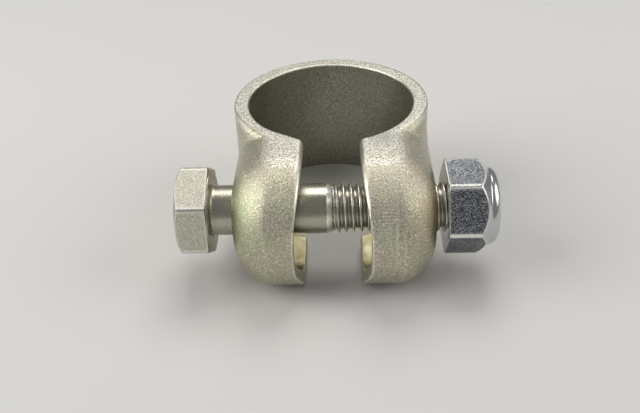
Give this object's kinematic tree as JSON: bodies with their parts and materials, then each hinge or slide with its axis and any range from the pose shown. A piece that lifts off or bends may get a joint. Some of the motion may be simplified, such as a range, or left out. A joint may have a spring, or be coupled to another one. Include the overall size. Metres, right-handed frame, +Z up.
{
  "type": "loop clamp",
  "caption": "Pressed steel tube clamp: an open ring with hollow ears that a cross bolt and a nylon-insert lock nut draw together to grip a tube.",
  "frame": {"origin": "centre of the tube bore, on the end face that the clamp stands on", "axes": "+Z up along the bore; +X along the cross bolt from its head to its nut; the gap between the ears faces -Y"},
  "size_m": [0.0623, 0.0562, 0.027],
  "materials": {
    "band_steel": "fine shot-blasted zinc plate, warm grey, satin; smoother inside the bore and pockets",
    "bolt_steel": "bright zinc plate with a faint yellow tint, satin head",
    "nut_steel": "bluish-white zinc plate, grainy faces, polished collar",
    "insert_nylon": "natural white nylon"
  },
  "bodies": {
    "clamp": {"clamp_band": "band_steel"},
    "bolt": {"hex_bolt": "bolt_steel"},
    "nut": {"lock_nut": "nut_steel", "nylon_insert": "insert_nylon"}
  },
  "joints": [
    {"name": "bolt_turn", "type": "hinge", "parent": "clamp", "child": "bolt", "pos_m": [0, -0.0228, 0.0148], "axis": [1, 0, 0], "range_deg": [-570, 380]},
    {"name": "nut_travel", "type": "slide", "parent": "clamp", "child": "nut", "axis": [1, 0, 0], "range_m": [-0.00158, 0.00238]}
  ],
  "couplings": [
    {"joint": "nut_travel", "follows": "bolt_turn", "m_per_rad": -0.00023873}
  ]
}
